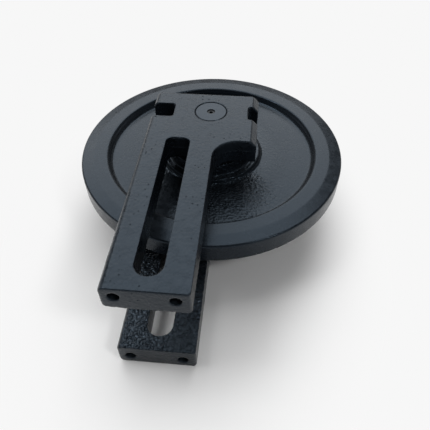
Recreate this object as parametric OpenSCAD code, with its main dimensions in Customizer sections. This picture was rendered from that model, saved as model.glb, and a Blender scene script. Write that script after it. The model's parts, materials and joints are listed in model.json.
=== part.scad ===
// Front idler of a small tracked excavator, lying on its lower bracket with the axle upright.
// Two mirrored cast brackets carry a fixed, oil filled axle, and the disc wheel turns on it.
// Millimetres. Z runs up the axle from the lower bracket's outer face, and the arms point to -Y.

/* [Wheel] */

// Outside diameter over the tread
wheel_d = 420; // [360:1:480]
// Width of the tread at the outside diameter
tread_w = 32; // [26:0.5:40]
// Radius on both edges of the tread
tread_edge_r = 2; // [0.5:0.5:5]
// Width of the rim across its flat side faces
rim_w = 37; // [32:0.5:46]
// Diameter where the rim's side faces begin to taper to the tread
rim_flat_d = 380; // [350:1:400]
// Inside diameter of the rim, at its side faces
rim_bore_d = 334; // [300:1:345]
// Draft on the inside wall of the rim, measured across the wall's height
rim_draft = 2; // [0:0.5:5]
// Edge radius at the mouth of the rim's inside wall
rim_lip_r = 1.5; // [0.5:0.25:4]
// Casting fillet between rim and web
rim_fillet = 6; // [2:0.5:9]
// Thickness of the web
web_t = 14; // [10:0.5:20]
// Diameter of the raised ring round the hub
hub_ring_d = 158; // [146:1:190]
// Width across the raised rings on both sides
hub_ring_w = 28; // [24:0.5:36]
// Casting fillet from the raised ring to the web
hub_fillet = 5.5; // [2:0.5:6]
// Outside diameter of the hub barrel
barrel_d = 136; // [124:1:142]
// Fillet at the foot of the hub barrel
barrel_fillet = 3; // [1:0.5:5]
// Edge chamfer on the hub and in the mouths of the bushes
edge_chamfer = 1.2; // [0.5:0.1:2]
// Depth of the oil pocket turned into the middle of the hub bore
oil_pocket = 4; // [2:0.5:8]

/* [Axle shaft] */

// Diameter of the shaft ends that sit in the brackets
shaft_end_d = 48; // [42:0.5:52]
// Diameter of the journals that the bushes run on
journal_d = 56; // [54:0.5:60]
// Width of the thrust collar between the two bushes
collar_w = 6; // [4:0.5:8]
// How far the collar stays below the hub bore, so that the shaft can pass through it
collar_drop = 0.6; // [0.4:0.1:1.5]
// How far each shaft end lies below its bracket's outer face
shaft_sink = 0.3; // [0.1:0.1:1]
// Chamfer on the shaft ends and on the bracket bores round them
shaft_chamfer = 1.1; // [0.5:0.1:2]
// Oil drilling along the shaft, from its upper end to the collar
oil_hole_d = 6; // [5.5:0.25:7]
// Oil drilling across the collar, which meets the long one
oil_cross_d = 4.5; // [3:0.25:5]
// Mouth diameter of the centre drilling in the lower shaft end
centre_drill_d = 10; // [6:0.5:14]
// Full angle of the centre drilling
centre_drill_angle = 60; // [60:30:90]

/* [Bushes and floating seals] */

// Wall of each bush
bush_wall = 4.5; // [3:0.25:6]
// Running clearance between journal and bush, on the radius
run_gap = 0.06; // [0.02:0.01:0.1]
// Axial play between thrust collar and bush
thrust_gap = 0.3; // [0.1:0.05:0.5]
// Width of the oil groove inside each bush
bush_groove_w = 4; // [2:0.5:6]
// Depth of the oil groove inside each bush
bush_groove_t = 1.2; // [0.5:0.1:2]
// Gap between the hub's end face and the bracket boss
seal_gap = 1.5; // [1:0.1:3]
// Depth of each seal seat, in the boss and in the hub
seal_seat = 10.25; // [9.5:0.25:12]
// Clearance of the seal rings round the journal, on the radius
ring_gap = 2.5; // [1.5:0.25:4]
// Radial thickness of a seal ring at its neck
ring_neck = 6; // [4:0.25:8]
// Height of a seal ring's lapped flange above its neck
ring_flange = 5; // [3:0.25:6]
// Thickness of the lapped flange
ring_flange_t = 3; // [2:0.25:3.5]
// Rise of the ramp between flange and neck
ring_ramp = 1; // [0.5:0.25:1.5]
// Clearance behind a seal ring in its seat
ring_end_gap = 1.5; // [0.8:0.1:2]
// Oil film between the two lapped faces
film_gap = 0.1; // [0.05:0.05:0.2]
// Section diameter of the rubber toric rings
toric_d = 6.6; // [5:0.1:6.8]
// Clearance of rubber rings to the metal around them
rubber_gap = 0.05; // [0.02:0.01:0.1]
// Section diameter of the shaft sealing rings
o_ring_d = 3; // [2:0.25:4]
// Distance from the shaft shoulder to the sealing ring's groove
o_ring_in = 5; // [3:0.5:8]
// Extra width of the sealing ring's groove
o_ring_play = 0.8; // [0.4:0.1:1.5]

/* [Brackets] */

// Overall height across the outer faces of the two brackets
span = 171; // [160:1:190]
// Thickness of the bracket plate
arm_t = 37; // [32:0.5:40]
// Width of the arm
arm_w = 103; // [94:1:116]
// Distance of the arm's centre line from the axle, to the left
arm_shift = 40; // [34:0.5:44]
// Distance from the axle to the arm's end face
arm_l = 331; // [315:1:360]
// Distance from the axle to the head's right side
head_right = 72; // [66:0.5:84]
// Distance from the axle to the head's rear edge
head_rear = 45; // [42:0.5:60]
// Distance from the axle to the head's front edge beside the arm
head_front = 69; // [62:0.5:80]
// Concave radius between head and arm
crook_r = 36; // [20:1:44]
// Radius on the head's upright corners
head_corner_r = 3; // [1:0.5:8]
// Radius on the upright corners at the arm's end
arm_corner_r = 4; // [2:0.5:12]
// Radius along the outer left edge of head and arm
outer_edge_r = 9; // [4:0.5:14]
// Radius along the inner left edge of head and arm
inner_edge_r = 9; // [4:0.5:14]
// Bevel along the outer right edge of the head
head_bevel = 8.5; // [4:0.5:12]
// Distance from the axle to the flat floor of each side notch
notch_flat = 57; // [57:0.5:62]
// Height of each side notch along the bracket
notch_w = 33; // [26:0.5:38]
// Radius in the inner corners of each notch
notch_r = 4.5; // [2:0.5:8]
// Width of the long slot in the arm
slot_w = 34.5; // [28:0.5:40]
// Distance from the axle to the slot's near end
slot_near = 68; // [64:0.5:80]
// Wall between the slot's far end and the arm's end face
slot_end_wall = 20.5; // [15:0.5:30]
// Radius of the corners at the slot's near end
slot_near_r = 10; // [5:0.5:13]
// Diameter of the boss that faces the wheel
boss_d = 112; // [106:0.5:114]
// Height of the boss above the bracket's inner face
boss_h = 13.5; // [12:0.5:18]
// How far the boss runs up behind the head's rear edge
boss_ledge = 8; // [4:0.5:14]
// Casting fillet between boss and bracket
boss_fillet = 5; // [2:0.5:8]
// Clearance of the shaft in the bracket bore, on the radius
bore_gap = 0.03; // [0.01:0.01:0.05]
// Drilled diameter of the tapped holes in the arm's end
tap_d = 14; // [12:0.1:15]
// Depth of the tapped holes
tap_l = 42; // [30:1:60]
// Distance between the two tapped holes of one arm
tap_pitch = 69; // [56:0.5:80]
// Distance of the tapped holes from the bracket's outer face
tap_in = 15.5; // [12:0.5:20]
// Point angle of the drills
drill_angle = 118; // [90:1:140]

/* [Pins and plug] */

// Diameter of each lock pin
pin_d = 10; // [8:0.5:11]
// Chamfer on both ends of each lock pin
pin_chamfer = 1; // [0.5:0.25:2]
// Distance of the lock pin from the axle's centre
pin_side = 10; // [9:0.25:11]
// Distance of the lock pin below the bracket's outer face
pin_in = 19; // [17:0.5:22]
// How far the pin ends stay below the notch floors
pin_sink = 1.5; // [0.5:0.25:4]
// Clearance of the lock pins in their holes, on the radius
pin_gap = 0.03; // [0.01:0.01:0.05]
// Head diameter of the oil plug
plug_head_d = 11.6; // [10:0.1:13]
// Head height of the oil plug
plug_head_h = 4.5; // [3:0.25:5]
// Thread diameter of the oil plug
plug_thread_d = 8; // [7:0.5:9]
// Length of the oil plug's thread
plug_thread_l = 7; // [5:0.5:9]
// How far the plug's head lies below the shaft end
plug_sink = 1.6; // [1:0.1:3]
// Clearance round the plug's head and below its thread
plug_gap = 0.4; // [0.2:0.05:0.8]
// Clearance of the plug's thread and of the washer round it, on the radius
plug_fit = 0.03; // [0.01:0.01:0.05]
// Thickness of the plug's sealing washer
washer_t = 1.2; // [0.8:0.1:2]
// Size of the plug's hexagon socket across flats
socket_af = 5; // [4:0.5:6]
// Depth of the plug's hexagon socket
socket_l = 3.5; // [2:0.25:4]

/* [Hidden] */
$fn = 96;
over = 1;
quarter = 90;
paint = "#3a3f45";
steel = "#9aa0a6";
bronze = "#b08a4a";
copper = "#b87348";
rubber = "#1d1e20";

half_span = span / 2;
plate_in = half_span - arm_t;
boss_face = plate_in - boss_h;
hub_end = boss_face - seal_gap;
seal_face = (boss_face + hub_end) / 2;
seat_floor = boss_face + seal_seat;
hub_seat_floor = hub_end - seal_seat;

barrel_r = barrel_d / 2;
tread_edge_at = [wheel_d / 2 - tread_edge_r, tread_w / 2 - tread_edge_r];
rim_lip_at = [rim_bore_d / 2 + rim_lip_r, rim_w / 2 - rim_lip_r];
rim_fillet_at = [rim_bore_d / 2 - rim_draft - rim_fillet, web_t / 2 + rim_fillet];
hub_fillet_at = [hub_ring_d / 2 + hub_fillet, web_t / 2 + hub_fillet];
barrel_fillet_at = [barrel_r + barrel_fillet, hub_ring_w / 2 + barrel_fillet];
journal_r = journal_d / 2;
bush_in_r = journal_r + run_gap;
bush_out_r = bush_in_r + bush_wall;
bush_near = collar_w / 2 + thrust_gap;
bush_far = hub_seat_floor;
collar_r = bush_out_r - collar_drop;
ring_in_r = journal_r + ring_gap;
neck_r = ring_in_r + ring_neck;
flange_r = neck_r + ring_flange;
seat_r = neck_r + toric_d + 2 * rubber_gap;
ring_l = seal_face - hub_seat_floor - ring_end_gap;
toric_r = neck_r + rubber_gap + toric_d / 2;
toric_z = seal_face + ring_flange_t + ring_ramp + toric_d / 2;

shaft_end_z = half_span - shaft_sink;
shaft_end_r = shaft_end_d / 2;
bore_r = shaft_end_r + bore_gap;
o_ring_z = seat_floor + o_ring_in;
o_ring_w = o_ring_d + o_ring_play;
o_ring_floor_r = bore_r - o_ring_d;
pin_z = half_span - pin_in;
pin_half_l = notch_flat - pin_sink;
plug_z = shaft_end_z - plug_sink;
washer_z = plug_z - plug_head_h - washer_t;
plug_end_z = plug_z - plug_head_h - plug_thread_l;

arm_left = -arm_shift - arm_w / 2;
arm_right = -arm_shift + arm_w / 2;
slot_r = slot_w / 2;
slot_far = arm_l - slot_end_wall;
tap_z = half_span - tap_in;

// The two ends of an arc round a centre, at one angle and at another
function arc_ends(centre, r, from, to) = [for (a = [from, to]) centre + r * [cos(a), sin(a)]];

// A section drawn above the wheel's middle plane, closed by its own mirror image below it
function both_sides(half) =
    concat(half, [for (i = [len(half) - 1:-1:0]) [half[i].x, -half[i].y]]);

// Everything is drawn round the wheel's middle plane and stood on the lower bracket
module stand() translate([0, 0, half_span]) children();
module below() mirror([0, 0, 1]) children();

// A cylinder along the axle between two heights
module along(from, to, r) translate([0, 0, from]) cylinder(h = to - from, r = r);

// The waste outside a rounded corner: the corner point, the directions into the solid and the radius
module corner_waste(p, into, r) difference() {
    translate(p + (r - over) / 2 * into) square(r + over, center = true);
    translate(p + r * into) circle(r);
}

// The wheel's section from the tread inward: rim, web, hub ring, barrel, seal seat and bore
function wheel_half() = concat(
    arc_ends(tread_edge_at, tread_edge_r, 0, quarter),
    [[rim_flat_d / 2, rim_w / 2]],
    arc_ends(rim_lip_at, rim_lip_r, quarter, 2 * quarter),
    arc_ends(rim_fillet_at, rim_fillet, 0, -quarter),
    arc_ends(hub_fillet_at, hub_fillet, -quarter, -2 * quarter),
    [[hub_ring_d / 2, hub_ring_w / 2 - edge_chamfer], [hub_ring_d / 2 - edge_chamfer, hub_ring_w / 2]],
    arc_ends(barrel_fillet_at, barrel_fillet, -quarter, -2 * quarter),
    [[barrel_r, hub_end - edge_chamfer], [barrel_r - edge_chamfer, hub_end]],
    [[seat_r, hub_end], [seat_r, hub_seat_floor], [bush_out_r, hub_seat_floor]],
    [[bush_out_r, collar_w / 2], [bush_out_r + oil_pocket, collar_w / 2]]
);

// A circle at the same place of the section on both sides of the middle plane
module round_at(centre, r) for (side = [-1, 1]) translate([centre.x, side * centre.y]) circle(r);

// Cast steel disc wheel in one piece, with its edges rounded and its fillets hollowed
module idler_wheel() color(paint) stand() rotate_extrude() difference() {
    union() {
        polygon(both_sides(wheel_half()));
        round_at(tread_edge_at, tread_edge_r);
        round_at(rim_lip_at, rim_lip_r);
    }
    round_at(rim_fillet_at, rim_fillet);
    round_at(hub_fillet_at, hub_fillet);
    round_at(barrel_fillet_at, barrel_fillet);
}

// The shaft's section: collar, journal, shoulder, sealing groove and chamfered end
function shaft_half() = [
    [0, shaft_end_z], [shaft_end_r - shaft_chamfer, shaft_end_z], [shaft_end_r, shaft_end_z - shaft_chamfer],
    [shaft_end_r, o_ring_z + o_ring_w / 2], [o_ring_floor_r, o_ring_z + o_ring_w / 2],
    [o_ring_floor_r, o_ring_z - o_ring_w / 2], [shaft_end_r, o_ring_z - o_ring_w / 2],
    [shaft_end_r, seat_floor], [journal_r, seat_floor], [journal_r, collar_w / 2], [collar_r, collar_w / 2]
];

// The lock pin's place in the upper bracket, across the shaft, and the hole for it
module across_shaft() translate([0, pin_side, pin_z]) rotate([0, quarter, 0]) children();
module pin_hole(half_l) across_shaft() cylinder(h = 2 * half_l, r = pin_d / 2 + pin_gap, center = true);

// Fixed shaft, drilled for oil from its upper end to the collar
module axle_shaft() color(steel) stand() difference() {
    rotate_extrude() polygon(both_sides(shaft_half()));
    along(-oil_hole_d / 2, shaft_end_z, oil_hole_d / 2);
    rotate([0, quarter, 0]) cylinder(h = 2 * collar_r + over, d = oil_cross_d, center = true);
    along(washer_z, shaft_end_z + over, plug_head_d / 2 + plug_gap);
    along(plug_end_z - plug_gap, shaft_end_z, plug_thread_d / 2 + plug_fit);
    below() translate([0, 0, shaft_end_z - centre_drill_d / 2 / tan(centre_drill_angle / 2)])
        cylinder(h = centre_drill_d / 2 / tan(centre_drill_angle / 2), r1 = 0, d2 = centre_drill_d);
    pin_hole(shaft_end_d);
    below() pin_hole(shaft_end_d);
}

// One side notch seen from above, with its flat floor towards the axle
module notch_outline() {
    translate([notch_flat + notch_r, -notch_w / 2]) square([arm_w, notch_w]);
    translate([notch_flat, -notch_w / 2 + notch_r]) square([arm_w, notch_w - 2 * notch_r]);
    for (side = [-1, 1]) translate([notch_flat + notch_r, side * (notch_w / 2 - notch_r)]) circle(notch_r);
}

// The long slot seen from above: round at its far end, with rounded corners at its near end
module slot_outline() translate([-arm_shift, 0]) {
    translate([-slot_r, -slot_far + slot_r]) square([slot_w, slot_far - slot_near - slot_r - slot_near_r]);
    translate([-slot_r + slot_near_r, -slot_near - slot_w]) square([slot_w - 2 * slot_near_r, slot_w]);
    for (side = [-1, 1])
        translate([side * (slot_r - slot_near_r), -slot_near - slot_near_r]) circle(slot_near_r);
    translate([0, -slot_far + slot_r]) circle(slot_r);
}

// The bracket seen from above: head and arm flush on the left, with the crook between them on the right
module bracket_outline() difference() {
    union() {
        translate([arm_left, -head_front]) square([head_right - arm_left, head_front + head_rear]);
        translate([arm_left, -arm_l]) square([arm_w, arm_l]);
        translate([arm_right, -head_front]) rotate(-quarter) square(crook_r);
    }
    translate([arm_right + crook_r, -head_front - crook_r]) circle(crook_r);
    corner_waste([arm_left, head_rear], [1, -1], head_corner_r);
    corner_waste([head_right, head_rear], [-1, -1], head_corner_r);
    corner_waste([head_right, -head_front], [-1, 1], head_corner_r);
    corner_waste([arm_left, -arm_l], [1, 1], arm_corner_r);
    corner_waste([arm_right, -arm_l], [-1, 1], arm_corner_r);
    notch_outline();
    mirror([1, 0]) notch_outline();
    slot_outline();
}

// A section drawn across the bracket, run along its whole length
module along_arm() translate([0, head_rear + over, 0]) rotate([quarter, 0, 0])
    linear_extrude(head_rear + arm_l + 2 * over) children();

// The plate of the upper bracket, with its rounded left edges and the bevel on the head's right edge
module bracket_plate() difference() {
    translate([0, 0, plate_in]) linear_extrude(arm_t) bracket_outline();
    along_arm() corner_waste([arm_left, half_span], [1, -1], outer_edge_r);
    along_arm() corner_waste([arm_left, plate_in], [1, 1], inner_edge_r);
    along_arm() translate([head_right, half_span]) rotate(quarter / 2)
        square([sqrt(2) * head_bevel, 2 * head_bevel], center = true);
}

// The boss that holds the fixed half of the seal, with its fillet to the plate
module bracket_boss() {
    along(boss_face, plate_in + boss_ledge, boss_d / 2);
    intersection() {
        rotate_extrude() difference() {
            translate([0, plate_in - boss_fillet]) square([boss_d / 2 + boss_fillet, boss_fillet + over]);
            translate([boss_d / 2 + boss_fillet, plate_in - boss_fillet]) circle(boss_fillet);
        }
        translate([0, 0, plate_in - arm_t]) linear_extrude(2 * arm_t) bracket_outline();
    }
}

// One tapped hole in the arm's end, with its drill point
module tapped_hole() rotate([-quarter, 0, 0]) {
    translate([0, 0, -over]) cylinder(h = tap_l + over, d = tap_d);
    translate([0, 0, tap_l]) cylinder(h = tap_d / 2 / tan(drill_angle / 2), d1 = tap_d, r2 = 0);
}

// Cast bracket above the wheel; the one below is its mirror image
module bracket() difference() {
    union() {
        bracket_plate();
        bracket_boss();
    }
    along(boss_face - over, seat_floor, seat_r);
    along(seat_floor - over, half_span + over, bore_r);
    translate([0, 0, half_span - shaft_chamfer])
        cylinder(h = shaft_chamfer, r1 = bore_r, r2 = bore_r + shaft_chamfer);
    pin_hole(notch_flat + over);
    for (side = [-1, 1]) translate([-arm_shift + side * tap_pitch / 2, -arm_l, tap_z]) tapped_hole();
}
module upper_bracket() color(paint) stand() bracket();
module lower_bracket() color(paint) stand() below() bracket();

// Bimetal bush pressed into the hub, with an oil groove in its bore
module bush() difference() {
    along(bush_near, bush_far, bush_out_r);
    along(bush_near - over, bush_far + over, bush_in_r);
    translate([0, 0, (bush_near + bush_far) / 2])
        cylinder(h = bush_groove_w, r = bush_in_r + bush_groove_t, center = true);
    translate([0, 0, bush_far - edge_chamfer])
        cylinder(h = edge_chamfer, r1 = bush_in_r, r2 = bush_in_r + edge_chamfer);
}
module upper_bush() color(bronze) stand() bush();
module lower_bush() color(bronze) stand() below() bush();

// Metal ring of a floating seal, drawn on the bracket's side of the lapped face
module seal_ring() translate([0, 0, seal_face]) rotate_extrude() polygon([
    [ring_in_r, film_gap / 2], [flange_r, film_gap / 2], [flange_r, ring_flange_t],
    [neck_r, ring_flange_t + ring_ramp], [neck_r, ring_l], [ring_in_r, ring_l]
]);

// Rubber ring between a seal ring's neck and its seat
module toric() translate([0, 0, toric_z]) rotate_extrude() translate([toric_r, 0]) circle(d = toric_d);

// The turning half of a seal is the fixed half's mirror image in the lapped face
module turning_half() translate([0, 0, seal_face]) below() translate([0, 0, -seal_face]) children();

module upper_fixed_seal_ring() color(steel) stand() seal_ring();
module lower_fixed_seal_ring() color(steel) stand() below() seal_ring();
module upper_turning_seal_ring() color(steel) stand() turning_half() seal_ring();
module lower_turning_seal_ring() color(steel) stand() below() turning_half() seal_ring();
module upper_fixed_toric() color(rubber) stand() toric();
module lower_fixed_toric() color(rubber) stand() below() toric();
module upper_turning_toric() color(rubber) stand() turning_half() toric();
module lower_turning_toric() color(rubber) stand() below() turning_half() toric();

// Rubber sealing ring in the shaft's groove
module shaft_o_ring() translate([0, 0, o_ring_z]) rotate_extrude()
    translate([bore_r - o_ring_d / 2, 0]) circle(d = o_ring_d - 2 * rubber_gap);
module upper_shaft_o_ring() color(rubber) stand() shaft_o_ring();
module lower_shaft_o_ring() color(rubber) stand() below() shaft_o_ring();

// Dowel that locks the shaft in its bracket, driven in from the side notch
module lock_pin() across_shaft() rotate_extrude() polygon(both_sides([
    [0, pin_half_l], [pin_d / 2 - pin_chamfer, pin_half_l], [pin_d / 2, pin_half_l - pin_chamfer]
]));
module upper_lock_pin() color(steel) stand() lock_pin();
module lower_lock_pin() color(steel) stand() below() lock_pin();

// Oil plug sunk in the upper shaft end, with a hexagon socket
module oil_plug() color(steel) stand() difference() {
    union() {
        along(plug_z - plug_head_h, plug_z, plug_head_d / 2);
        along(plug_end_z, plug_z - plug_head_h / 2, plug_thread_d / 2);
    }
    translate([0, 0, plug_z - socket_l])
        cylinder(h = socket_l + over, d = socket_af / cos(quarter / 3), $fn = 6);
}

// Sealing washer under the plug's head
module plug_washer() color(copper) stand() difference() {
    along(washer_z, washer_z + washer_t, plug_head_d / 2);
    along(washer_z - over, washer_z + washer_t + over, plug_thread_d / 2 + plug_fit);
}

idler_wheel();
axle_shaft();
upper_bracket();
lower_bracket();
upper_bush();
lower_bush();
upper_turning_seal_ring();
lower_turning_seal_ring();
upper_fixed_seal_ring();
lower_fixed_seal_ring();
upper_turning_toric();
lower_turning_toric();
upper_fixed_toric();
lower_fixed_toric();
upper_shaft_o_ring();
lower_shaft_o_ring();
upper_lock_pin();
lower_lock_pin();
oil_plug();
plug_washer();
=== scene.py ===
import json
from math import cos, pi, radians, sin

import bpy
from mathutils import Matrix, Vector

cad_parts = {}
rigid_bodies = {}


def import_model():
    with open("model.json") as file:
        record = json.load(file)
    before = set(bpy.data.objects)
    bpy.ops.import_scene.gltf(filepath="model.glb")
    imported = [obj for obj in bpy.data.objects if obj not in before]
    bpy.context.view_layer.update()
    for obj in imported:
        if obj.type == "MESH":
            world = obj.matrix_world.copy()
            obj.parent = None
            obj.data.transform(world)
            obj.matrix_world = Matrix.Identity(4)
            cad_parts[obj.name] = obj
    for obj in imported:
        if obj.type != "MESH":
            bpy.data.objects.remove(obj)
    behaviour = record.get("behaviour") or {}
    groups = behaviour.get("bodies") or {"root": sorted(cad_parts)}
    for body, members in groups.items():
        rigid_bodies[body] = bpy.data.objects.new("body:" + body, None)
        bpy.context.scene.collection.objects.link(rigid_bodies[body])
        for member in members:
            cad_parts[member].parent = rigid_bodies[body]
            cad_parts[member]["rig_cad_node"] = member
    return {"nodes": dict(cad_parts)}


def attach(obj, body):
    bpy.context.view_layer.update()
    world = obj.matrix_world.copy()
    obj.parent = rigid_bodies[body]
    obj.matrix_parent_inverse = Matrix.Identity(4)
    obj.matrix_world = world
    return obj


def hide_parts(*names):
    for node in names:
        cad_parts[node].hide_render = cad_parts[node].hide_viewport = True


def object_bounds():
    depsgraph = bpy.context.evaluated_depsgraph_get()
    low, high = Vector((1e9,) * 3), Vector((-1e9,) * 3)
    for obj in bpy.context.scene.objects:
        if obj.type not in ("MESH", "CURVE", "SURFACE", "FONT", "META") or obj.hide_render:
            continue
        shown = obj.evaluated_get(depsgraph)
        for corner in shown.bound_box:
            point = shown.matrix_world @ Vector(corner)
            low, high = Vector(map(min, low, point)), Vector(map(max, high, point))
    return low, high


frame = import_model()
cad_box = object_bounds()
nodes = frame["nodes"]


# Axle shaft: a turned and ground steel bar that stays still while the wheel turns on it.
# Only its two end faces show, flush in the brackets, and they were sprayed black with them.

def linear(hex_colour):
    """An sRGB hex colour as the linear RGBA that a shader socket takes."""
    parts = [int(hex_colour[i:i + 2], 16) / 255 for i in (1, 3, 5)]
    return [c / 12.92 if c <= 0.04045 else ((c + 0.055) / 1.055) ** 2.4 for c in parts] + [1.0]


def add(tree, kind, settings=None, values=None, links=None):
    """Adds a shader node with its settings, its socket values and the links into it."""
    made = tree.nodes.new("ShaderNode" + kind)
    for name, value in (settings or {}).items():
        setattr(made, name, value)
    for name, value in (values or {}).items():
        made.inputs[name].default_value = value
    for name, socket in (links or {}).items():
        tree.links.new(socket, made.inputs[name])
    return made


def blank(name):
    """A new material with an empty tree and its output node."""
    material = bpy.data.materials.new(name)
    material.use_nodes = True
    material.node_tree.nodes.clear()
    return material, material.node_tree, add(material.node_tree, "OutputMaterial")


# Ground steel: grey metal that grinding left unevenly bright, in marks drawn coarser than real ones.
# Black paint covers its end faces, and a faint orange peel runs over all of it.
# In a Mix node, sockets 6 and 7 are the two colours and output 2 is the mixed colour.
SPAN = round(cad_box[1][2] - cad_box[0][2], 4)
PAINTED_END = 0.0018
GRINDING_GRAIN, GRINDING_DETAIL = 0.0004, 2.0
BRIGHT, DULL = 0.30, 0.46
SHAFT_PEEL_GRAIN, SHAFT_PEEL_DETAIL = 0.0035, 3.0
SHAFT_PEEL_DEPTH, SHAFT_PEEL_STRENGTH = 0.0004, 0.25
STEEL_GREY, PAINT_BLACK, BLUE_SHEEN = "#8d9196", "#161a20", "#c4dff8"
ground_steel, tree, output = blank("ground_steel_painted_ends")
spot = add(tree, "TexCoord").outputs["Object"]
axes = add(tree, "SeparateXYZ", links={0: spot})
from_middle = add(tree, "Math", {"operation": "SUBTRACT"}, {1: SPAN / 2}, {0: axes.outputs["Z"]})
height = add(tree, "Math", {"operation": "ABSOLUTE"}, links={0: from_middle.outputs[0]}).outputs[0]
painted = add(tree, "Math", {"operation": "GREATER_THAN"}, {1: SPAN / 2 - PAINTED_END}, {0: height})
marks = add(tree, "TexNoise", {}, {"Scale": 1 / GRINDING_GRAIN, "Detail": GRINDING_DETAIL}, {"Vector": spot})
peel = add(tree, "TexNoise", {}, {"Scale": 1 / SHAFT_PEEL_GRAIN, "Detail": SHAFT_PEEL_DETAIL},
           {"Vector": spot})
relief = add(tree, "Bump", {}, {"Strength": SHAFT_PEEL_STRENGTH, "Distance": SHAFT_PEEL_DEPTH},
             {"Height": peel.outputs[0]})
colour = add(tree, "Mix", {"data_type": "RGBA"}, {6: linear(STEEL_GREY), 7: linear(PAINT_BLACK)},
             {0: painted.outputs[0]})
metal = add(tree, "Math", {"operation": "SUBTRACT"}, {0: 1.0}, {1: painted.outputs[0]})
gloss = add(tree, "MapRange", {}, {"To Min": BRIGHT, "To Max": DULL}, {0: marks.outputs[0]})
shader = add(tree, "BsdfPrincipled", {}, {"Specular Tint": linear(BLUE_SHEEN)}, {
    "Base Color": colour.outputs[2], "Metallic": metal.outputs[0],
    "Roughness": gloss.outputs[0], "Normal": relief.outputs[0]})
tree.links.new(shader.outputs[0], output.inputs[0])


def finish_node(name, material):
    """Gives a CAD node its procedural material in place of the plain one it was packed with."""
    nodes[name].data.materials.clear()
    nodes[name].data.materials.append(material)


finish_node("axle_shaft", ground_steel)


# Bushes: bimetal sleeves pressed into the hub from both ends, with bronze on the running side.
# Bored bronze is a warm, slightly dull metal with fine tool rings. A wave pattern repeats about
# three times in its unit length, so the rings are half a millimetre apart.
TOOL_WAVE, TOOL_WANDER = 0.0016, 0.4
TOOL_DEPTH, TOOL_STRENGTH = 0.0001, 0.15
BRONZE_DARK, BRONZE_LIGHT, BRONZE_ROUGHNESS = "#9c7440", "#b98d52", 0.34
bored_bronze, tree, output = blank("bored_bronze")
spot = add(tree, "TexCoord").outputs["Object"]
rings = add(tree, "TexWave", {"bands_direction": "Z"}, {"Scale": 1 / TOOL_WAVE, "Distortion": TOOL_WANDER},
            {"Vector": spot})
tint = add(tree, "Mix", {"data_type": "RGBA"}, {6: linear(BRONZE_DARK), 7: linear(BRONZE_LIGHT)},
           {0: rings.outputs[1]})
relief = add(tree, "Bump", {}, {"Strength": TOOL_STRENGTH, "Distance": TOOL_DEPTH},
             {"Height": rings.outputs[1]})
shader = add(tree, "BsdfPrincipled", {}, {"Metallic": 1.0, "Roughness": BRONZE_ROUGHNESS},
             {"Base Color": tint.outputs[2], "Normal": relief.outputs[0]})
tree.links.new(shader.outputs[0], output.inputs[0])
for side in ("upper", "lower"):
    finish_node(side + "_bush", bored_bronze)


# Floating seals: in each pair a lapped alloy iron ring in the hub runs on one in the bracket, and a
# rubber toric ring behind each presses them together. The shaft has rubber rings in the brackets.
# Lapped iron is a cool grey metal with an even, fine-grained gloss.
IRON_GRAIN, IRON_DETAIL = 0.0012, 4.0
IRON_DARK, IRON_LIGHT = "#6d7072", "#84888b"
IRON_BRIGHT, IRON_DULL = 0.22, 0.36
lapped_iron, tree, output = blank("lapped_iron")
spot = add(tree, "TexCoord").outputs["Object"]
grain = add(tree, "TexNoise", {}, {"Scale": 1 / IRON_GRAIN, "Detail": IRON_DETAIL}, {"Vector": spot})
tint = add(tree, "Mix", {"data_type": "RGBA"}, {6: linear(IRON_DARK), 7: linear(IRON_LIGHT)},
           {0: grain.outputs[0]})
gloss = add(tree, "MapRange", {}, {"To Min": IRON_BRIGHT, "To Max": IRON_DULL}, {0: grain.outputs[0]})
shader = add(tree, "BsdfPrincipled", {}, {"Metallic": 1.0},
             {"Base Color": tint.outputs[2], "Roughness": gloss.outputs[0]})
tree.links.new(shader.outputs[0], output.inputs[0])

# Moulded nitrile rubber: matt near-black, with a faint grey bloom in patches.
BLOOM_GRAIN, BLOOM_DETAIL = 0.004, 5.0
BLOOM_DEPTH, BLOOM_STRENGTH = 0.0002, 0.2
RUBBER_DARK, RUBBER_BLOOM = "#17181a", "#232527"
RUBBER_ROUGHNESS, RUBBER_IOR = 0.62, 1.52
moulded_rubber, tree, output = blank("moulded_nitrile_rubber")
spot = add(tree, "TexCoord").outputs["Object"]
bloom = add(tree, "TexNoise", {}, {"Scale": 1 / BLOOM_GRAIN, "Detail": BLOOM_DETAIL}, {"Vector": spot})
tint = add(tree, "Mix", {"data_type": "RGBA"}, {6: linear(RUBBER_DARK), 7: linear(RUBBER_BLOOM)},
           {0: bloom.outputs[0]})
relief = add(tree, "Bump", {}, {"Strength": BLOOM_STRENGTH, "Distance": BLOOM_DEPTH},
             {"Height": bloom.outputs[0]})
shader = add(tree, "BsdfPrincipled", {}, {"Roughness": RUBBER_ROUGHNESS, "IOR": RUBBER_IOR},
             {"Base Color": tint.outputs[2], "Normal": relief.outputs[0]})
tree.links.new(shader.outputs[0], output.inputs[0])
for side in ("upper", "lower"):
    for part in ("fixed", "turning"):
        finish_node(f"{side}_{part}_seal_ring", lapped_iron)
        finish_node(f"{side}_{part}_toric", moulded_rubber)
    finish_node(side + "_shaft_o_ring", moulded_rubber)


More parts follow.
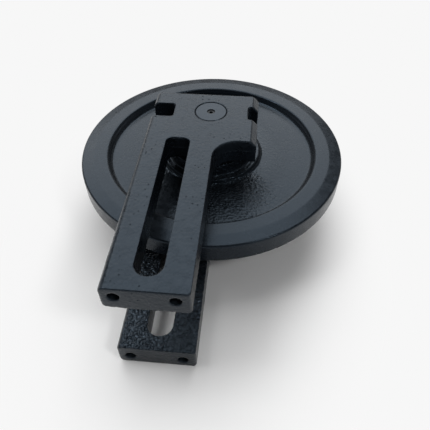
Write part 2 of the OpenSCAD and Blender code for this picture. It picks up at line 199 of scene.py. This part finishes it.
# Idler wheel: one steel casting, turned on the tread, the rim's sides and the hub, and sprayed
# black. The web keeps its rough sand-cast skin, which the paint follows. It is made as half a
# section from the tread to the oil pocket, mirrored, extruded along its outline and spun.
MIDDLE = SPAN / 2
TREAD_R, TREAD_HALF, TREAD_EDGE = round(cad_box[1][0], 4), 0.016, 0.003
RIM_FLAT_R, RIM_HALF, RIM_BORE_R, RIM_BLEND = 0.190, 0.0185, 0.167, 0.001
WEB_HALF, RIM_FILLET, RIM_DRAFT, LIP = 0.007, 0.006, 0.002, 0.004
RING_R, RING_HALF, RING_FILLET, RING_EDGE = 0.079, 0.014, 0.0055, 0.0028
BARREL_R, BARREL_HALF, BARREL_FILLET = 0.068, 0.0335, 0.003
SEAT_R, SEAT_FLOOR, BORE_R = 0.0432, 0.02325, 0.03256
POCKET_R, POCKET_HALF = 0.03656, 0.003
CHAMFER = 0.0012
STEP, STEPS_ROUND = 0.0021, 400
FINE_FROM_R = SEAT_R + 0.001
WELD = 0.00001
CREASE = radians(50)


def bend(r, z, radius, start, end, steps=6):
    """Points round a corner of the turned section, from one angle to another in degrees."""
    turns = [radians(start + (end - start) * i / steps) for i in range(steps + 1)]
    return [(r + radius * cos(a), z + radius * sin(a)) for a in turns]


upper_half = (
    bend(TREAD_R - TREAD_EDGE, TREAD_HALF - TREAD_EDGE, TREAD_EDGE, 0, 90)
    + bend(RIM_FLAT_R, RIM_HALF - RIM_BLEND, RIM_BLEND, 84, 90, 1)
    + bend(RIM_BORE_R + LIP, RIM_HALF - LIP, LIP, 90, 180)
    + bend(RIM_BORE_R - RIM_DRAFT - RIM_FILLET, WEB_HALF + RIM_FILLET, RIM_FILLET, 0, -90)
    + bend(RING_R + RING_FILLET, WEB_HALF + RING_FILLET, RING_FILLET, -90, -150)
    + bend(RING_R - RING_EDGE, RING_HALF - RING_EDGE, RING_EDGE, 0, 90)
    + bend(BARREL_R + BARREL_FILLET, RING_HALF + BARREL_FILLET, BARREL_FILLET, -90, -180)
    + bend(BARREL_R - CHAMFER, BARREL_HALF - CHAMFER, CHAMFER, 0, 90, 3)
    + [(SEAT_R, BARREL_HALF), (SEAT_R, SEAT_FLOOR), (BORE_R, SEAT_FLOOR), (BORE_R, POCKET_HALF)]
    + [(POCKET_R, POCKET_HALF)])
section = upper_half + [(r, -z) for r, z in reversed(upper_half)]


def start_alone():
    """Object mode with nothing selected, so that the next operator touches only what it is given."""
    if bpy.context.object and bpy.context.object.mode != "OBJECT":
        bpy.ops.object.mode_set(mode="OBJECT")
    bpy.ops.object.select_all(action="DESELECT")


start_alone()
bpy.ops.mesh.primitive_plane_add(size=STEP, location=(0, 0, 0))
wheel = bpy.context.object
wheel.name = wheel.data.name = "cast_wheel"
bpy.ops.object.mode_set(mode="EDIT")
bpy.ops.mesh.select_all(action="SELECT")
bpy.ops.mesh.merge(type="CENTER")
bpy.ops.transform.translate(value=(section[0][0], 0, MIDDLE + section[0][1]))
here = section[0]
for there in section[1:] + section[:1]:
    out, up = there[0] - here[0], there[1] - here[1]
    pieces = max(1, round((out ** 2 + up ** 2) ** 0.5 / STEP)) if here[0] > FINE_FROM_R else 1
    for _ in range(pieces):
        bpy.ops.mesh.extrude_region_move(TRANSFORM_OT_translate={"value": (out / pieces, 0, up / pieces)})
    here = there
bpy.ops.mesh.select_all(action="SELECT")
bpy.ops.mesh.remove_doubles(threshold=WELD)
bpy.ops.mesh.spin(steps=STEPS_ROUND, angle=2 * pi, center=(0, 0, 0), axis=(0, 0, 1))
bpy.ops.mesh.select_all(action="SELECT")
bpy.ops.mesh.remove_doubles(threshold=WELD)
bpy.ops.mesh.normals_make_consistent(inside=False)
bpy.ops.object.mode_set(mode="OBJECT")
bpy.ops.object.shade_smooth_by_angle(angle=CREASE)

# The sand-cast skin covers the web, its fillets and the ring round the hub. It is coarsest on one
# side next to the hub, where the mould washed out as the steel ran in, and evens out from there.
SKIN_FROM_R, SKIN_TO_R, SKIN_BELOW = BARREL_R - 0.001, RIM_BORE_R - 0.0005, RIM_HALF - 0.002
WASHED_X, WASHED_Y = 0.34, -0.94
WASHED_FROM, WASHED_FULL, SOUND = 0.76, 0.95, 0.2
COARSE_R, EVEN_R, EVEN = 0.115, 0.160, 0.3
RIPPLE_GRAIN, RIPPLE_DEPTH = 0.0042, 0.0012
SWELL_GRAIN, SWELL_DEPTH = 0.030, 0.0010
skin = wheel.vertex_groups.new(name="cast_skin")
for v in wheel.data.vertices:
    r, z = (v.co.x ** 2 + v.co.y ** 2) ** 0.5, abs(v.co.z - MIDDLE)
    if SKIN_FROM_R < r < SKIN_TO_R and z < SKIN_BELOW:
        share = (WASHED_X * v.co.x + WASHED_Y * v.co.y) / r
        washed = max(0.0, min(1.0, (share - WASHED_FROM) / (WASHED_FULL - WASHED_FROM)))
        coarse = max(0.0, min(1.0, (EVEN_R - r) / (EVEN_R - COARSE_R)))
        weight = (SOUND + (1 - SOUND) * washed) * (EVEN + (1 - EVEN) * coarse)
        skin.add([v.index], weight, "REPLACE")


def roughen(piece, name, grain, depth):
    """Moves a casting's skin in and out by a cloud pattern of that grain and depth, and keeps it."""
    clouds = bpy.data.textures.new(name, "CLOUDS")
    clouds.noise_scale = grain
    clouds.noise_depth = 2
    start_alone()
    piece.select_set(True)
    bpy.context.view_layer.objects.active = piece
    bpy.ops.object.modifier_add(type="DISPLACE")
    uneven = piece.modifiers[-1]
    uneven.texture = clouds
    uneven.texture_coords = "LOCAL"
    uneven.strength = depth
    uneven.mid_level = 0.5
    uneven.vertex_group = "cast_skin"
    bpy.ops.object.modifier_apply(modifier=uneven.name)


roughen(wheel, "web_ripple", RIPPLE_GRAIN, RIPPLE_DEPTH)
roughen(wheel, "web_swell", SWELL_GRAIN, SWELL_DEPTH)

# Black enamel, sprayed thick: satin to glossy blue-black, wettest round the hub. It rounds off the
# sand's grain, and a thin grey film of dust lies on the faces that look up. Turned faces show only
# fine orange peel. Output 1 of a Vector Math node is its length or dot product.
TURNED_FROM, CAST_FADE = RIM_BORE_R - 0.001, 0.002
SAND_GRAIN, SAND_DETAIL, SAND_DEPTH = 0.0036, 1.0, 0.0024
PEEL_GRAIN, PEEL_DETAIL = 0.0030, 2.0
PEEL_DEPTH, PEEL_STRENGTH = 0.0003, 0.35
DUST_GRAIN, DUST_DETAIL, DUST_ROUGHNESS = 0.016, 3.0, 0.55
DUST_FROM, DUST_FULL, DUST_THIN, DUST_THICK = 0.35, 0.75, 0.1, 0.35
SLOPING, LEVEL = 0.6, 0.95
ENAMEL_BLACK, DUST_GREY, ENAMEL_IOR = "#0d1116", "#394047", 1.37
CLEAN, HAZED, GLOSSY, SATIN = 0.3, 0.7, 0.22, 0.32
WET_R, DRY_R, WET, DRY = 0.080, 0.110, 0.42, 1.0
enamel_wheel, tree, output = blank("black_enamel_on_cast_and_turned_wheel")
spot = add(tree, "TexCoord").outputs["Object"]
axes = add(tree, "SeparateXYZ", links={0: spot})
flat = add(tree, "CombineXYZ", links={0: axes.outputs[0], 1: axes.outputs[1]})
radius = add(tree, "VectorMath", {"operation": "LENGTH"}, links={0: flat.outputs[0]}).outputs[1]
cast = add(tree, "MapRange", {}, {
    "From Min": TURNED_FROM - CAST_FADE, "From Max": TURNED_FROM, "To Min": 1.0, "To Max": 0.0}, {0: radius})
even = add(tree, "MapRange", {}, {
    "From Min": COARSE_R, "From Max": EVEN_R, "To Min": 1.0, "To Max": EVEN}, {0: radius})
across = add(tree, "VectorMath", {"operation": "DOT_PRODUCT"}, {1: (WASHED_X, WASHED_Y, 0)},
             {0: flat.outputs[0]})
toward = add(tree, "Math", {"operation": "DIVIDE"}, links={0: across.outputs[1], 1: radius})
washout = add(tree, "MapRange", {}, {
    "From Min": WASHED_FROM, "From Max": WASHED_FULL, "To Min": SOUND, "To Max": 1.0}, {0: toward.outputs[0]})
near_hub = add(tree, "Math", {"operation": "MULTIPLY"}, links={0: cast.outputs[0], 1: even.outputs[0]})
grit = add(tree, "Math", {"operation": "MULTIPLY"}, links={0: near_hub.outputs[0], 1: washout.outputs[0]})
sand = add(tree, "TexNoise", {}, {"Scale": 1 / SAND_GRAIN, "Detail": SAND_DETAIL}, {"Vector": spot})
relief_sand = add(tree, "Bump", {}, {"Distance": SAND_DEPTH},
                  {"Height": sand.outputs[0], "Strength": grit.outputs[0]})
peel = add(tree, "TexNoise", {}, {"Scale": 1 / PEEL_GRAIN, "Detail": PEEL_DETAIL}, {"Vector": spot})
relief = add(tree, "Bump", {}, {"Strength": PEEL_STRENGTH, "Distance": PEEL_DEPTH},
             {"Height": peel.outputs[0], "Normal": relief_sand.outputs[0]})
facing = add(tree, "NewGeometry")
upward = add(tree, "SeparateXYZ", links={0: facing.outputs["Normal"]})
level = add(tree, "MapRange", {}, {"From Min": SLOPING, "From Max": LEVEL}, {0: upward.outputs["Z"]})
dust = add(tree, "TexNoise", {}, {
    "Scale": 1 / DUST_GRAIN, "Detail": DUST_DETAIL, "Roughness": DUST_ROUGHNESS}, {"Vector": spot})
film = add(tree, "MapRange", {}, {
    "From Min": DUST_FROM, "From Max": DUST_FULL, "To Min": DUST_THIN, "To Max": DUST_THICK},
    {0: dust.outputs[0]})
lying = add(tree, "Math", {"operation": "MULTIPLY"}, links={0: film.outputs[0], 1: level.outputs[0]})
tint = add(tree, "Mix", {"data_type": "RGBA"}, {6: linear(ENAMEL_BLACK), 7: linear(DUST_GREY)},
           {0: lying.outputs[0]})
satin = add(tree, "MapRange", {}, {
    "From Min": CLEAN, "From Max": HAZED, "To Min": GLOSSY, "To Max": SATIN}, {0: dust.outputs[0]})
wet = add(tree, "MapRange", {}, {
    "From Min": WET_R, "From Max": DRY_R, "To Min": WET, "To Max": DRY}, {0: radius})
gloss = add(tree, "Math", {"operation": "MULTIPLY"}, links={0: satin.outputs[0], 1: wet.outputs[0]})
shader = add(tree, "BsdfPrincipled", {}, {"IOR": ENAMEL_IOR, "Specular Tint": linear(BLUE_SHEEN)}, {
    "Base Color": tint.outputs[2], "Roughness": gloss.outputs[0], "Normal": relief.outputs[0]})
tree.links.new(shader.outputs[0], output.inputs[0])
wheel.data.materials.clear()
wheel.data.materials.append(enamel_wheel)
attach(wheel, "wheel")
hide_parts("idler_wheel")


# Brackets: two steel castings, the lower the mirror image of the upper, with the shaft's bore and
# the outer face machined. Sprayed black with the rest after assembly. Inner faces keep a deep
# pebbled skin, and the walls a shallower one.
PLATE = 0.037
GRID, CAD_WELD, EASE = 0.0014, 0.000001, 0.35
FACE_BAND = 0.0012
FACE_SKIN, WALL_SKIN, INNER_SKIN = 0.14, 0.28, 1.0
BORE_CLEAR_R, SKIN_GROWS = 0.046, 0.020
PEBBLE_GRAIN, PEBBLE_DEPTH = 0.0040, 0.0015
WARP_GRAIN, WARP_DEPTH = 0.035, 0.0009
SEAM_FROM_R, SEAM_FROM_Y, SEAM_PROUD = 0.030, -0.2, 0.0004

# The same dusty black enamel, wetter on the inner faces, so that their pebbles glint. Small open
# pits in patches are dull, and the dust film is left out of them, which paints shade into them as
# dark specks. Output 0 of a Voronoi pattern is the distance from a pit's middle, and sockets 2 and 3
# of a Mix node are its two plain values.
INNER_FROM, INNER_TO = MIDDLE - PLATE + 0.0005, MIDDLE - PLATE + 0.0025
OUTER_FROM, OUTER_TO = MIDDLE - FACE_BAND, MIDDLE - 0.0004
WALL_GRIT, FACE_GAIN = 0.10, 1.7
CAST_GRAIN, CAST_DETAIL, CAST_DEPTH = 0.0036, 0.5, 0.0028
PIT_SPACING, PATCH_SIZE, PATCH_DETAIL = 0.0075, 0.05, 2.0
PATCH_FROM, PATCH_FULL, PIT_LEAST, PIT_MOST = 0.44, 0.66, 0.02, 0.17
PIT_STRENGTH, PIT_DEPTH, PIT_ROUGHNESS = 0.6, 0.0005, 0.7
FILM_GRAIN = 0.014
FILM_FROM, FILM_FULL, FILM_THIN, FILM_THICK = 0.38, 0.68, 0.1, 0.4
BRACKET_GLOSSY, BRACKET_SATIN, INNER_WET = 0.24, 0.34, 0.38
enamel_bracket, tree, output = blank("black_enamel_on_cast_bracket")
spot = add(tree, "TexCoord").outputs["Object"]
axes = add(tree, "SeparateXYZ", links={0: spot})
from_middle = add(tree, "Math", {"operation": "SUBTRACT"}, {1: MIDDLE}, {0: axes.outputs["Z"]})
height = add(tree, "Math", {"operation": "ABSOLUTE"}, links={0: from_middle.outputs[0]}).outputs[0]
inner = add(tree, "MapRange", {}, {
    "From Min": INNER_FROM, "From Max": INNER_TO, "To Min": 1.0, "To Max": WALL_GRIT}, {0: height})
outer = add(tree, "MapRange", {}, {
    "From Min": OUTER_FROM, "From Max": OUTER_TO, "To Min": 1.0, "To Max": FACE_GAIN}, {0: height})
cast = add(tree, "Math", {"operation": "MULTIPLY"}, links={0: inner.outputs[0], 1: outer.outputs[0]})
sand = add(tree, "TexNoise", {}, {"Scale": 1 / CAST_GRAIN, "Detail": CAST_DETAIL}, {"Vector": spot})
relief_sand = add(tree, "Bump", {}, {"Distance": CAST_DEPTH},
                  {"Height": sand.outputs[0], "Strength": cast.outputs[0]})
pits = add(tree, "TexVoronoi", {}, {"Scale": 1 / PIT_SPACING}, {"Vector": spot})
patches = add(tree, "TexNoise", {}, {"Scale": 1 / PATCH_SIZE, "Detail": PATCH_DETAIL}, {"Vector": spot})
pit_size = add(tree, "MapRange", {}, {
    "From Min": PATCH_FROM, "From Max": PATCH_FULL, "To Min": PIT_LEAST, "To Max": PIT_MOST},
    {0: patches.outputs[0]})
solid = add(tree, "Math", {"operation": "GREATER_THAN"}, links={0: pits.outputs[0], 1: pit_size.outputs[0]})
relief = add(tree, "Bump", {}, {"Strength": PIT_STRENGTH, "Distance": PIT_DEPTH},
             {"Height": solid.outputs[0], "Normal": relief_sand.outputs[0]})
facing = add(tree, "NewGeometry")
upward = add(tree, "SeparateXYZ", links={0: facing.outputs["Normal"]})
level = add(tree, "MapRange", {}, {"From Min": SLOPING, "From Max": LEVEL}, {0: upward.outputs["Z"]})
dust = add(tree, "TexNoise", {}, {
    "Scale": 1 / FILM_GRAIN, "Detail": DUST_DETAIL, "Roughness": DUST_ROUGHNESS}, {"Vector": spot})
film = add(tree, "MapRange", {}, {
    "From Min": FILM_FROM, "From Max": FILM_FULL, "To Min": FILM_THIN, "To Max": FILM_THICK},
    {0: dust.outputs[0]})
lying = add(tree, "Math", {"operation": "MULTIPLY"}, links={0: film.outputs[0], 1: level.outputs[0]})
# Painted shade: the dust film is left out of the pits, so they show as darker specks on the dusty faces.
clear = add(tree, "Math", {"operation": "MULTIPLY"}, links={0: lying.outputs[0], 1: solid.outputs[0]})
tint = add(tree, "Mix", {"data_type": "RGBA"}, {6: linear(ENAMEL_BLACK), 7: linear(DUST_GREY)},
           {0: clear.outputs[0]})
satin = add(tree, "MapRange", {}, {
    "From Min": CLEAN, "From Max": HAZED, "To Min": BRACKET_GLOSSY, "To Max": BRACKET_SATIN},
    {0: dust.outputs[0]})
wet = add(tree, "MapRange", {}, {
    "From Min": INNER_FROM, "From Max": INNER_TO, "To Min": INNER_WET, "To Max": DRY}, {0: height})
sheen = add(tree, "Math", {"operation": "MULTIPLY"}, links={0: satin.outputs[0], 1: wet.outputs[0]})
gloss = add(tree, "Mix", {}, {2: PIT_ROUGHNESS}, {0: solid.outputs[0], 3: sheen.outputs[0]})
shader = add(tree, "BsdfPrincipled", {}, {"IOR": ENAMEL_IOR, "Specular Tint": linear(BLUE_SHEEN)}, {
    "Base Color": tint.outputs[2], "Roughness": gloss.outputs[0], "Normal": relief.outputs[0]})
tree.links.new(shader.outputs[0], output.inputs[0])

# Each bracket is a copy of its CAD node with an even skin of small faces, which the casting's
# pebbles and slight warp then move. The mould's parting line runs half way up the head's walls.
for side in ("upper", "lower"):
    start_alone()
    nodes[side + "_bracket"].select_set(True)
    bpy.context.view_layer.objects.active = nodes[side + "_bracket"]
    bpy.ops.object.duplicate(linked=False)
    bracket = bpy.context.object
    bracket.name = bracket.data.name = side + "_cast_bracket"
    del bracket["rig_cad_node"]
    bpy.ops.object.parent_clear(type="CLEAR_KEEP_TRANSFORM")
    bpy.ops.object.mode_set(mode="EDIT")
    bpy.ops.mesh.select_all(action="SELECT")
    bpy.ops.mesh.remove_doubles(threshold=CAD_WELD)
    bpy.ops.object.mode_set(mode="OBJECT")
    bpy.ops.object.modifier_add(type="REMESH")
    skin_grid = bracket.modifiers[-1]
    skin_grid.mode = "VOXEL"
    skin_grid.voxel_size = GRID
    bpy.ops.object.modifier_apply(modifier=skin_grid.name)
    bpy.ops.object.modifier_add(type="SMOOTH")
    ease = bracket.modifiers[-1]
    ease.factor = EASE
    ease.iterations = 1
    bpy.ops.object.modifier_apply(modifier=ease.name)
    skin = bracket.vertex_groups.new(name="cast_skin")
    seam = bracket.vertex_groups.new(name="parting_line")
    for v in bracket.data.vertices:
        r, z = (v.co.x ** 2 + v.co.y ** 2) ** 0.5, abs(v.co.z - MIDDLE)
        rough = INNER_SKIN
        if z > MIDDLE - PLATE + FACE_BAND:
            rough = WALL_SKIN
        if z > MIDDLE - FACE_BAND:
            rough = FACE_SKIN
        if r > BORE_CLEAR_R:
            skin.add([v.index], rough * min(1.0, (r - BORE_CLEAR_R) / SKIN_GROWS), "REPLACE")
        if r > SEAM_FROM_R and v.co.y > SEAM_FROM_Y and abs(z - MIDDLE + PLATE / 2) < GRID / 2:
            seam.add([v.index], 1.0, "REPLACE")
    roughen(bracket, side + "_skin", PEBBLE_GRAIN, PEBBLE_DEPTH)
    roughen(bracket, side + "_swell", WARP_GRAIN, WARP_DEPTH)
    bpy.ops.object.modifier_add(type="DISPLACE")
    flash = bracket.modifiers[-1]
    flash.strength = SEAM_PROUD
    flash.mid_level = 0.0
    flash.vertex_group = "parting_line"
    bpy.ops.object.modifier_apply(modifier=flash.name)
    bpy.ops.object.shade_smooth()
    bracket.data.materials.clear()
    bracket.data.materials.append(enamel_bracket)
    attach(bracket, "bracket_frame")
    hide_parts(side + "_bracket")


# Lock pins and oil plug: blackened steel dowels driven in from the side notches, and a socket
# plug on a soft copper washer in the upper shaft end. Blackened steel is dark grey and half matt,
# with a mottled gloss, and paint mist has dulled what shows of it.
MOTTLE_GRAIN, MOTTLE_DETAIL = 0.0015, 4.0
BLACKENED_DARK, BLACKENED_LIGHT, BLACKENED_METAL = "#1a1c1f", "#34383c", 0.6
BLACKENED_BRIGHT, BLACKENED_DULL = 0.38, 0.6
black_steel, tree, output = blank("blackened_steel")
spot = add(tree, "TexCoord").outputs["Object"]
mottle = add(tree, "TexNoise", {}, {"Scale": 1 / MOTTLE_GRAIN, "Detail": MOTTLE_DETAIL}, {"Vector": spot})
tint = add(tree, "Mix", {"data_type": "RGBA"}, {6: linear(BLACKENED_DARK), 7: linear(BLACKENED_LIGHT)},
           {0: mottle.outputs[0]})
gloss = add(tree, "MapRange", {}, {"To Min": BLACKENED_BRIGHT, "To Max": BLACKENED_DULL},
            {0: mottle.outputs[0]})
shader = add(tree, "BsdfPrincipled", {}, {"Metallic": BLACKENED_METAL},
             {"Base Color": tint.outputs[2], "Roughness": gloss.outputs[0]})
tree.links.new(shader.outputs[0], output.inputs[0])

# Annealed copper: a soft pinkish metal, browner where it has tarnished.
TARNISH_GRAIN, TARNISH_DETAIL = 0.002, 3.0
COPPER_BROWN, COPPER_PINK, COPPER_ROUGHNESS = "#8f5637", "#b5714c", 0.42
soft_copper, tree, output = blank("annealed_copper")
spot = add(tree, "TexCoord").outputs["Object"]
tarnish = add(tree, "TexNoise", {}, {"Scale": 1 / TARNISH_GRAIN, "Detail": TARNISH_DETAIL}, {"Vector": spot})
tint = add(tree, "Mix", {"data_type": "RGBA"}, {6: linear(COPPER_BROWN), 7: linear(COPPER_PINK)},
           {0: tarnish.outputs[0]})
shader = add(tree, "BsdfPrincipled", {}, {"Metallic": 1.0, "Roughness": COPPER_ROUGHNESS},
             {"Base Color": tint.outputs[2]})
tree.links.new(shader.outputs[0], output.inputs[0])
for name in ("upper_lock_pin", "lower_lock_pin", "oil_plug"):
    finish_node(name, black_steel)
finish_node("plug_washer", soft_copper)


# Floor: a plain pale studio floor, just under the part. It shows white in view and in reflections,
# apart from an oval round the part, where it keeps the part's shadow.
FLOOR_SIZE, FLOOR_DROP = 12, 0.0006
PAPER_DARK, PAPER_LIGHT, PAPER_WHITE, PAPER_ROUGHNESS = "#f6f6f6", "#f8f8f8", "#f7f7f7", 0.9
PAPER_CLOUD, PAPER_DETAIL = 0.25, 2.0
OVAL_X, OVAL_Y, OVAL_WIDE, OVAL_LONG = -0.02, -0.09, 0.25, 0.36
SHADOW_WITHIN, WHITE_BEYOND = 0.65, 1.25
start_alone()
bpy.ops.mesh.primitive_plane_add(size=FLOOR_SIZE, location=(0, 0, -FLOOR_DROP))
floor = bpy.context.object
floor.name = "studio_floor"
pale, tree, output = blank("pale_studio_floor")
spot = add(tree, "TexCoord").outputs["Object"]
cloud = add(tree, "TexNoise", {}, {"Scale": 1 / PAPER_CLOUD, "Detail": PAPER_DETAIL}, {"Vector": spot})
tint = add(tree, "Mix", {"data_type": "RGBA"}, {6: linear(PAPER_DARK), 7: linear(PAPER_LIGHT)},
           {0: cloud.outputs[0]})
paper = add(tree, "BsdfPrincipled", {}, {"Roughness": PAPER_ROUGHNESS}, {"Base Color": tint.outputs[2]})
white = add(tree, "Emission", {}, {"Color": linear(PAPER_WHITE), "Strength": 1.0})
ray = add(tree, "LightPath")
shown = add(tree, "Math", {"operation": "MAXIMUM"},
            links={0: ray.outputs["Is Camera Ray"], 1: ray.outputs["Is Glossy Ray"]})
seen = add(tree, "Math", {"operation": "MAXIMUM"},
           links={0: shown.outputs[0], 1: ray.outputs["Is Transmission Ray"]})
around = add(tree, "Mapping", {}, {
    "Location": (-OVAL_X / OVAL_WIDE, -OVAL_Y / OVAL_LONG, 0), "Scale": (1 / OVAL_WIDE, 1 / OVAL_LONG, 0)},
    {"Vector": spot})
reach = add(tree, "VectorMath", {"operation": "LENGTH"}, links={0: around.outputs[0]})
away = add(tree, "MapRange", {"interpolation_type": "SMOOTHSTEP"},
           {"From Min": SHADOW_WITHIN, "From Max": WHITE_BEYOND}, {0: reach.outputs[1]})
bare = add(tree, "Math", {"operation": "MULTIPLY"}, links={0: seen.outputs[0], 1: away.outputs[0]})
mixed = add(tree, "MixShader", links={0: bare.outputs[0], 1: paper.outputs[0], 2: white.outputs[0]})
tree.links.new(mixed.outputs[0], output.inputs[0])
floor.data.materials.append(pale)


# Light: low white walls fade to a dim ceiling, between two heights that are sines of the angle above
# the horizon. A wide soft box above and behind is what the level faces reflect, and two smaller ones
# light the sides. Each has its place, its turn in degrees, its side and its power in watts.
WALL_WHITE, WALL_LIGHT, CEILING_LIGHT = "#fefefe", 0.93, 0.14
WALL_TOP, CEILING_FROM = 0.02, 0.30
SOFT_BOXES = (
    ("soft_box_behind", (-0.8, 2.8, 4.1), (-43, 0, 14), 5.4, 232),
    ("soft_box_right", (1.7, -1.3, 2.3), (-44, 0, -126), 0.5, 17),
    ("soft_box_left", (-1.7, -0.2, 2.4), (-36.5, 0, 93), 1.0, 20))
world = bpy.data.worlds.new("studio")
bpy.context.scene.world = world
world.use_nodes = True
tree = world.node_tree
sky = add(tree, "TexCoord")
lift = add(tree, "SeparateXYZ", links={0: sky.outputs["Generated"]})
dim = add(tree, "MapRange", {"interpolation_type": "SMOOTHSTEP"}, {
    "From Min": WALL_TOP, "From Max": CEILING_FROM, "To Min": WALL_LIGHT, "To Max": CEILING_LIGHT},
    {0: lift.outputs["Z"]})
tree.nodes["Background"].inputs["Color"].default_value = linear(WALL_WHITE)
tree.links.new(dim.outputs[0], tree.nodes["Background"].inputs["Strength"])
for name, place, turn, width, power in SOFT_BOXES:
    bpy.ops.object.light_add(type="AREA", location=place, rotation=[radians(a) for a in turn])
    lamp = bpy.context.object
    lamp.name = name
    lamp.data.shape = "RECTANGLE"
    lamp.data.size = width
    lamp.data.size_y = width
    lamp.data.energy = power


# Camera: stands in front of the arms and looks down on the part, as in the photograph. Its turn is
# in degrees, and its film and lens are in millimetres.
CAMERA_PLACE, CAMERA_TURN = (0.06405, -0.59412, 0.58624), (42.585, 0.337, 5.330)
FILM_WIDTH, LENS, NEAREST = 36, 38.80, 0.01
bpy.ops.object.camera_add(location=CAMERA_PLACE, rotation=[radians(a) for a in CAMERA_TURN])
camera = bpy.context.object
camera.name = "photo_camera"
camera.data.sensor_width = FILM_WIDTH
camera.data.lens = LENS
camera.data.clip_start = NEAREST
bpy.context.scene.camera = camera
bpy.context.scene.view_settings.view_transform = "Standard"
